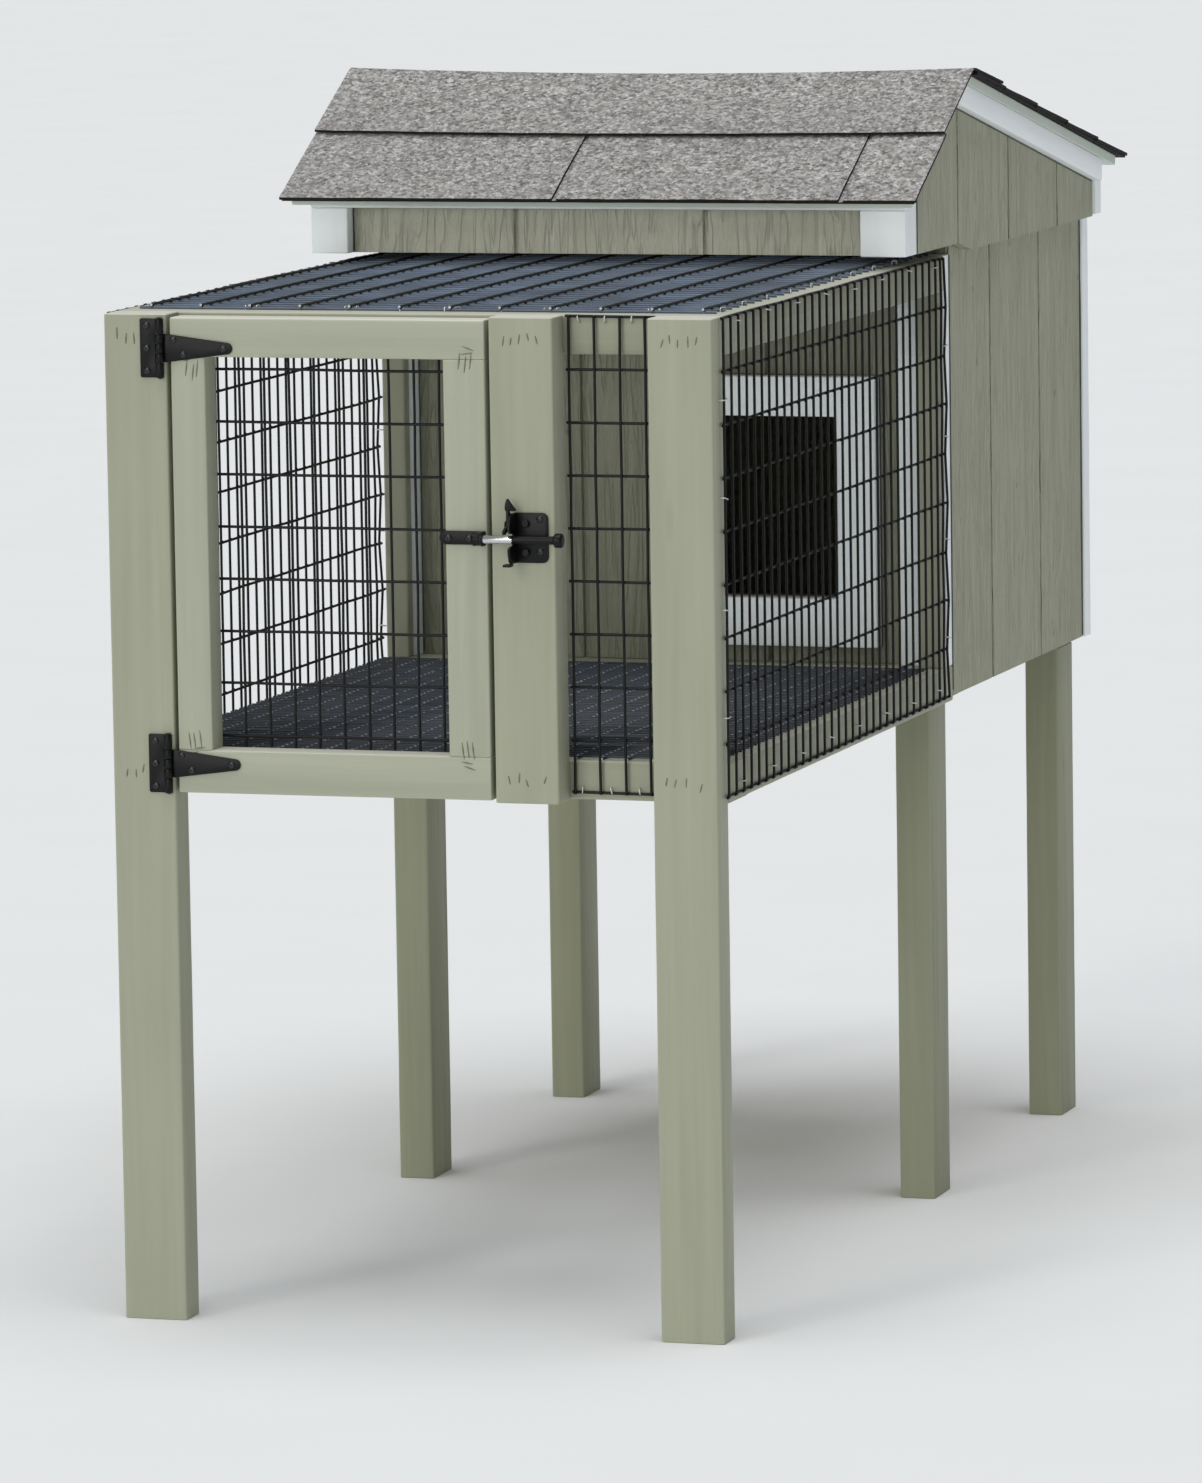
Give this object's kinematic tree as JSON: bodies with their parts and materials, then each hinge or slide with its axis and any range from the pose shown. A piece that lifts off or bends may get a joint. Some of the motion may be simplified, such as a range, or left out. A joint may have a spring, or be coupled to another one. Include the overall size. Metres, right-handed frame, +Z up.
{
  "type": "raised rabbit hutch",
  "caption": "Raised rabbit hutch: a welded-wire run on tall wooden legs with a latched mesh door, and a small grooved-siding house behind it under a hinged, shingled saltbox roof.",
  "frame": {"origin": "on the ground, at the middle of the hutch's overall width and length", "axes": "+Z up, +Y from the door of the run towards the back of the house, +X to the right when facing the door"},
  "size_m": [0.68, 1.5124, 1.1789],
  "materials": {
    "frame_paint": "satin khaki paint over softwood",
    "door_paint": "satin khaki paint over softwood",
    "leg_paint": "satin khaki paint over softwood",
    "siding_paint": "satin khaki paint over grooved, embossed siding",
    "bare_wood": "sawn, unpainted",
    "white_trim": "satin white paint",
    "roof_board": "edges painted off-white",
    "shingle": "mineral granules, grey-brown",
    "coated_wire": "black vinyl coat, slightly glossy",
    "staple_steel": "bright",
    "black_hardware": "satin black",
    "bar_steel": "bright, with a black knob"
  },
  "bodies": {
    "hutch": {"front_left_post": "frame_paint", "front_right_post": "frame_paint", "door_jamb": "frame_paint", "mid_left_leg": "leg_paint", "mid_right_leg": "leg_paint", "rear_left_leg": "leg_paint", "rear_right_leg": "leg_paint", "run_front_rails": "frame_paint", "run_left_rails": "frame_paint", "run_right_rails": "frame_paint", "run_rear_rails": "frame_paint", "run_rear_studs": "frame_paint", "run_floor_mesh": "coated_wire", "run_top_mesh": "coated_wire", "run_left_mesh": "coated_wire", "run_right_mesh": "coated_wire", "run_front_mesh": "coated_wire", "mesh_staples": "staple_steel", "house_floor_frame": "leg_paint", "house_floor": "bare_wood", "house_front_wall": "siding_paint", "house_rear_wall": "siding_paint", "house_left_wall": "siding_paint", "house_right_wall": "siding_paint", "house_corner_studs": "bare_wood", "house_corner_trim": "white_trim", "pop_hole_trim": "white_trim", "house_hinge_leaves": "black_hardware", "lid_hinge_pins": "black_hardware", "house_hinge_screws": "black_hardware", "door_hinge_plates": "black_hardware", "door_hinge_pins": "black_hardware", "latch_body": "black_hardware", "frame_screws": "black_hardware"},
    "door": {"door_hinge_stile": "door_paint", "door_latch_stile": "door_paint", "door_top_rail": "door_paint", "door_bottom_rail": "door_paint", "door_mesh": "coated_wire", "door_hinge_straps": "black_hardware", "strike_plate": "black_hardware", "strike_bar": "bar_steel", "door_screws": "black_hardware"},
    "latch_pawl": {"latch_pawl": "black_hardware"},
    "lid": {"lid_front_skirt": "siding_paint", "lid_rear_skirt": "siding_paint", "lid_left_gable": "siding_paint", "lid_right_gable": "siding_paint", "lid_front_trim": "white_trim", "lid_rear_trim": "white_trim", "lid_fascia": "white_trim", "lid_rake_boards": "white_trim", "lid_frame": "bare_wood", "roof_front_deck": "roof_board", "roof_rear_deck": "roof_board", "roof_front_shingles": "shingle", "roof_rear_shingles": "shingle", "roof_ridge_cap": "shingle", "lid_hinge_leaves": "black_hardware", "lid_hinge_screws": "black_hardware"}
  },
  "joints": [
    {"name": "door_hinge", "type": "hinge", "parent": "hutch", "child": "door", "pos_m": [-0.247, -0.7327, 0.75], "axis": [0, 0, -1], "range_deg": [0, 165]},
    {"name": "pawl_pivot", "type": "hinge", "parent": "hutch", "child": "latch_pawl", "pos_m": [0.1055, -0.7373, 0.787], "axis": [1, 0, 0], "range_deg": [-20, 24]},
    {"name": "lid_hinge", "type": "hinge", "parent": "hutch", "child": "lid", "pos_m": [0, 0.6962, 0.986], "axis": [-1, 0, 0], "range_deg": [0, 100]}
  ]
}
